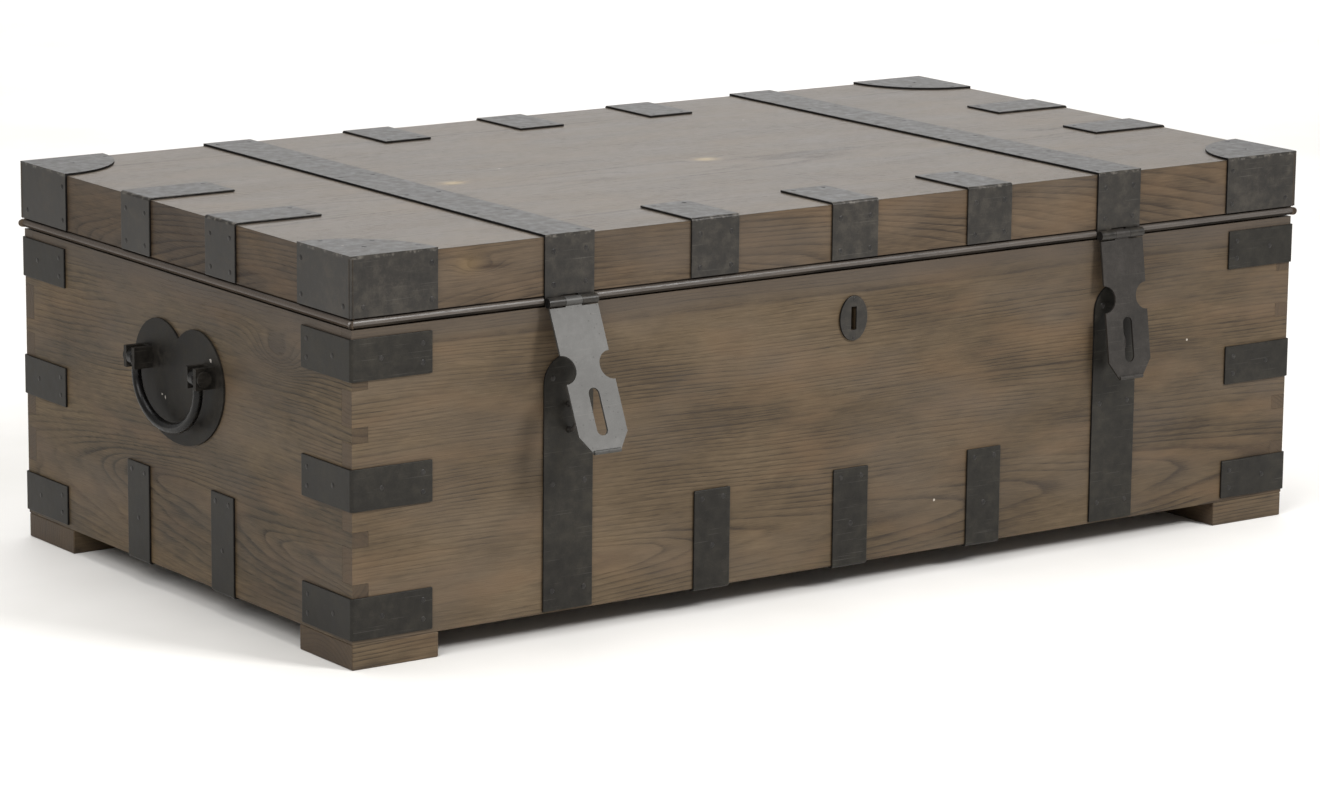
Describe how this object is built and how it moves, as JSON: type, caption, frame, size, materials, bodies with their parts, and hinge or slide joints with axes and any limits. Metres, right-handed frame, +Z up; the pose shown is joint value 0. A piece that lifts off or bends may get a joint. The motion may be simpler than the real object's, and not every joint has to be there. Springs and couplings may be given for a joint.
{
  "type": "ironbound wooden chest",
  "caption": "Low oblong oak chest on block feet, with a beaded hinged lid, dark sheet-iron brackets, corner caps and straps, swinging hasps with staples, a keyhole and drop handles.",
  "frame": {"origin": "floor level, under the middle of the bounding box; the wooden body's own middle is 30 mm behind it because the left hasp stands out in front", "axes": "+X along the length, left to right as seen from the front; +Y from the front to the back; +Z up"},
  "size_m": [1.245, 0.738, 0.405],
  "materials": {
    "body_oak": "dark grey-brown stained oak, open grain, satin",
    "lid_oak": "grey-brown stained oak, satin, worn to a haze on top",
    "dark_iron": "blackened sheet iron, mottled, satin",
    "worn_iron": "hammered grey iron, worn bright",
    "lock_brass": "dull brass"
  },
  "bodies": {
    "carcass": {"front_panel": "body_oak", "back_panel": "body_oak", "left_end_panel": "body_oak", "right_end_panel": "body_oak", "bottom_panel": "body_oak", "front_left_foot": "body_oak", "front_right_foot": "body_oak", "back_right_foot": "body_oak", "back_left_foot": "body_oak", "front_left_lower_bracket": "dark_iron", "front_left_middle_bracket": "dark_iron", "front_left_upper_bracket": "dark_iron", "front_right_lower_bracket": "dark_iron", "front_right_middle_bracket": "dark_iron", "front_right_upper_bracket": "dark_iron", "back_right_lower_bracket": "dark_iron", "back_right_middle_bracket": "dark_iron", "back_right_upper_bracket": "dark_iron", "back_left_lower_bracket": "dark_iron", "back_left_middle_bracket": "dark_iron", "back_left_upper_bracket": "dark_iron", "left_front_strap": "dark_iron", "right_front_strap": "dark_iron", "left_back_strap": "dark_iron", "right_back_strap": "dark_iron", "left_staple": "worn_iron", "right_staple": "worn_iron", "left_hinge_pin": "dark_iron", "right_hinge_pin": "dark_iron", "left_handle_plate": "dark_iron", "right_handle_plate": "dark_iron", "keyhole_plate": "dark_iron", "lock_case": "lock_brass"},
    "lid": {"lid_board": "lid_oak", "lid_front_rail": "lid_oak", "lid_back_rail": "lid_oak", "lid_left_rail": "lid_oak", "lid_right_rail": "lid_oak", "front_left_lid_cap": "dark_iron", "front_right_lid_cap": "dark_iron", "back_right_lid_cap": "dark_iron", "back_left_lid_cap": "dark_iron", "lid_front_bracket_1": "dark_iron", "lid_front_bracket_2": "dark_iron", "lid_front_bracket_3": "dark_iron", "lid_back_bracket_1": "dark_iron", "lid_back_bracket_2": "dark_iron", "lid_back_bracket_3": "dark_iron", "lid_left_bracket_1": "dark_iron", "lid_left_bracket_2": "dark_iron", "lid_right_bracket_1": "dark_iron", "lid_right_bracket_2": "dark_iron", "left_lid_strap": "dark_iron", "right_lid_strap": "dark_iron", "lock_keeper": "lock_brass"},
    "left_hasp": {"left_hasp": "worn_iron"},
    "right_hasp": {"right_hasp": "worn_iron"},
    "left_bail": {"left_handle_bail": "dark_iron"},
    "right_bail": {"right_handle_bail": "dark_iron"},
    "lock_bolt": {"lock_bolt": "lock_brass"}
  },
  "joints": [
    {"name": "lid_hinge", "type": "hinge", "parent": "carcass", "child": "lid", "pos_m": [0, 0.36403, 0.338], "axis": [-1, 0, 0], "range_deg": [0, 95]},
    {"name": "left_hasp_hinge", "type": "hinge", "parent": "lid", "child": "left_hasp", "pos_m": [-0.35, -0.30397, 0.338], "axis": [-1, 0, 0], "range_deg": [-24, 150]},
    {"name": "right_hasp_hinge", "type": "hinge", "parent": "lid", "child": "right_hasp", "pos_m": [0.35, -0.30397, 0.338], "axis": [-1, 0, 0], "range_deg": [-8.5, 165.5]},
    {"name": "left_bail_hinge", "type": "hinge", "parent": "carcass", "child": "left_bail", "pos_m": [-0.613, 0.03003, 0.243], "axis": [0, 1, 0], "range_deg": [-5, 170]},
    {"name": "right_bail_hinge", "type": "hinge", "parent": "carcass", "child": "right_bail", "pos_m": [0.613, 0.03003, 0.243], "axis": [0, -1, 0], "range_deg": [-5, 170]},
    {"name": "lock_bolt_slide", "type": "slide", "parent": "carcass", "child": "lock_bolt", "axis": [0, 0, 1], "range_m": [0, 0.012]}
  ]
}
